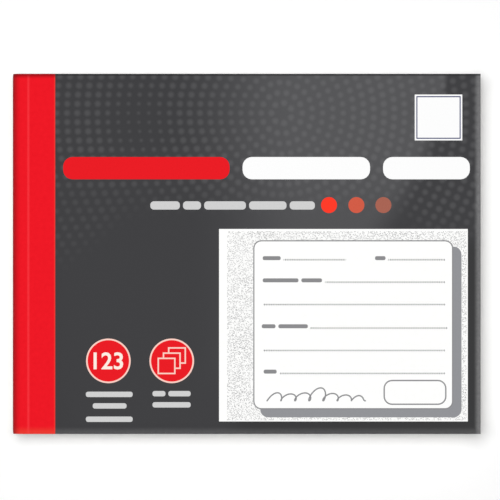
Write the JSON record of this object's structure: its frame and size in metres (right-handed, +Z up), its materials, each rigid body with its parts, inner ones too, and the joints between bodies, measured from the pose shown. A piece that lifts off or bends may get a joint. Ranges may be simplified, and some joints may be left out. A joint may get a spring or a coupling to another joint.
{
  "type": "duplicate receipt book",
  "caption": "Landscape book of perforated receipts in duplicate between card covers, side-stitched, with a cloth tape round the spine and a loose carbon sheet.",
  "frame": {"origin": "under the middle of the closed book, on the surface that it lies on", "axes": "+X from the spine to the fore-edge, +Y towards the head of the page, +Z up through the front cover"},
  "size_m": [0.13, 0.1, 0.0121],
  "materials": {
    "cover_card": "matte coated card",
    "binding_tape": "coated cloth",
    "receipt_paper": "uncoated",
    "carbon_paper": "waxy",
    "stitch_wire": "galvanised",
    "binding_glue": "dry glue"
  },
  "bodies": {
    "receipt_block": {"spine_tape": "binding_tape", "spine_glue": "binding_glue", "wire_stitches": "stitch_wire", "bound_leaf_edges": "receipt_paper", "front_cover_bound_edge": "cover_card", "back_cover_bound_edge": "cover_card", "receipt_duplicate_07": "receipt_paper", "receipt_originals_08_to_80": "receipt_paper", "receipt_duplicates_08_to_80": "receipt_paper"},
    "front_cover": {"front_cover": "cover_card", "front_tape_flap": "binding_tape"},
    "back_cover": {"back_cover": "cover_card", "back_tape_flap": "binding_tape"},
    "carbon": {"carbon_sheet": "carbon_paper"},
    "original_01": {"receipt_original_01": "receipt_paper"},
    "duplicate_01": {"receipt_duplicate_01": "receipt_paper"},
    "original_02": {"receipt_original_02": "receipt_paper"},
    "duplicate_02": {"receipt_duplicate_02": "receipt_paper"},
    "original_03": {"receipt_original_03": "receipt_paper"},
    "duplicate_03": {"receipt_duplicate_03": "receipt_paper"},
    "original_04": {"receipt_original_04": "receipt_paper"},
    "duplicate_04": {"receipt_duplicate_04": "receipt_paper"},
    "original_05": {"receipt_original_05": "receipt_paper"},
    "duplicate_05": {"receipt_duplicate_05": "receipt_paper"},
    "original_06": {"receipt_original_06": "receipt_paper"},
    "duplicate_06": {"receipt_duplicate_06": "receipt_paper"},
    "original_07": {"receipt_original_07": "receipt_paper"}
  },
  "joints": [
    {"name": "front_cover_open", "type": "hinge", "parent": "receipt_block", "child": "front_cover", "pos_m": [-0.06055, 0, 0.01216], "axis": [0, -1, 0], "range_deg": [0, 180]},
    {"name": "back_cover_open", "type": "hinge", "parent": "receipt_block", "child": "back_cover", "pos_m": [-0.06055, 0, -0.00002], "axis": [0, 1, 0], "range_deg": [0, 180]},
    {"name": "carbon_slide", "type": "slide", "parent": "receipt_block", "child": "carbon", "axis": [1, 0, 0], "range_m": [0, 0.126]},
    {"name": "original_01_turn", "type": "hinge", "parent": "receipt_block", "child": "original_01", "pos_m": [-0.06055, 0, 0.01216], "axis": [0, -1, 0], "range_deg": [0, 175.1]},
    {"name": "duplicate_01_turn", "type": "hinge", "parent": "receipt_block", "child": "duplicate_01", "pos_m": [-0.06055, 0, 0.01216], "axis": [0, -1, 0], "range_deg": [0, 172.52]},
    {"name": "original_02_turn", "type": "hinge", "parent": "receipt_block", "child": "original_02", "pos_m": [-0.06055, 0, 0.01216], "axis": [0, -1, 0], "range_deg": [0, 169.34]},
    {"name": "duplicate_02_turn", "type": "hinge", "parent": "receipt_block", "child": "duplicate_02", "pos_m": [-0.06055, 0, 0.01216], "axis": [0, -1, 0], "range_deg": [0, 165.48]},
    {"name": "original_03_turn", "type": "hinge", "parent": "receipt_block", "child": "original_03", "pos_m": [-0.06055, 0, 0.01216], "axis": [0, -1, 0], "range_deg": [0, 161]},
    {"name": "duplicate_03_turn", "type": "hinge", "parent": "receipt_block", "child": "duplicate_03", "pos_m": [-0.06055, 0, 0.01216], "axis": [0, -1, 0], "range_deg": [0, 155.89]},
    {"name": "original_04_turn", "type": "hinge", "parent": "receipt_block", "child": "original_04", "pos_m": [-0.06055, 0, 0.01216], "axis": [0, -1, 0], "range_deg": [0, 150.13]},
    {"name": "duplicate_04_turn", "type": "hinge", "parent": "receipt_block", "child": "duplicate_04", "pos_m": [-0.06055, 0, 0.01216], "axis": [0, -1, 0], "range_deg": [0, 143.72]},
    {"name": "original_05_turn", "type": "hinge", "parent": "receipt_block", "child": "original_05", "pos_m": [-0.06055, 0, 0.01216], "axis": [0, -1, 0], "range_deg": [0, 136.68]},
    {"name": "duplicate_05_turn", "type": "hinge", "parent": "receipt_block", "child": "duplicate_05", "pos_m": [-0.06055, 0, 0.01216], "axis": [0, -1, 0], "range_deg": [0, 129.02]},
    {"name": "original_06_turn", "type": "hinge", "parent": "receipt_block", "child": "original_06", "pos_m": [-0.06055, 0, 0.01216], "axis": [0, -1, 0], "range_deg": [0, 120.68]},
    {"name": "duplicate_06_turn", "type": "hinge", "parent": "receipt_block", "child": "duplicate_06", "pos_m": [-0.06055, 0, 0.01216], "axis": [0, -1, 0], "range_deg": [0, 111.74]},
    {"name": "original_07_turn", "type": "hinge", "parent": "receipt_block", "child": "original_07", "pos_m": [-0.06055, 0, 0.01216], "axis": [0, -1, 0], "range_deg": [0, 38.01]}
  ],
  "couplings": [
    {"joint": "original_01_turn", "follows": "front_cover_open", "ratio": 0.9727},
    {"joint": "duplicate_01_turn", "follows": "front_cover_open", "ratio": 0.9584},
    {"joint": "original_02_turn", "follows": "front_cover_open", "ratio": 0.9407},
    {"joint": "duplicate_02_turn", "follows": "front_cover_open", "ratio": 0.9193},
    {"joint": "original_03_turn", "follows": "front_cover_open", "ratio": 0.8944},
    {"joint": "duplicate_03_turn", "follows": "front_cover_open", "ratio": 0.866},
    {"joint": "original_04_turn", "follows": "front_cover_open", "ratio": 0.834},
    {"joint": "duplicate_04_turn", "follows": "front_cover_open", "ratio": 0.7984},
    {"joint": "original_05_turn", "follows": "front_cover_open", "ratio": 0.7593},
    {"joint": "duplicate_05_turn", "follows": "front_cover_open", "ratio": 0.7167},
    {"joint": "original_06_turn", "follows": "front_cover_open", "ratio": 0.6704},
    {"joint": "duplicate_06_turn", "follows": "front_cover_open", "ratio": 0.6207},
    {"joint": "original_07_turn", "follows": "front_cover_open", "ratio": 0.2111}
  ]
}
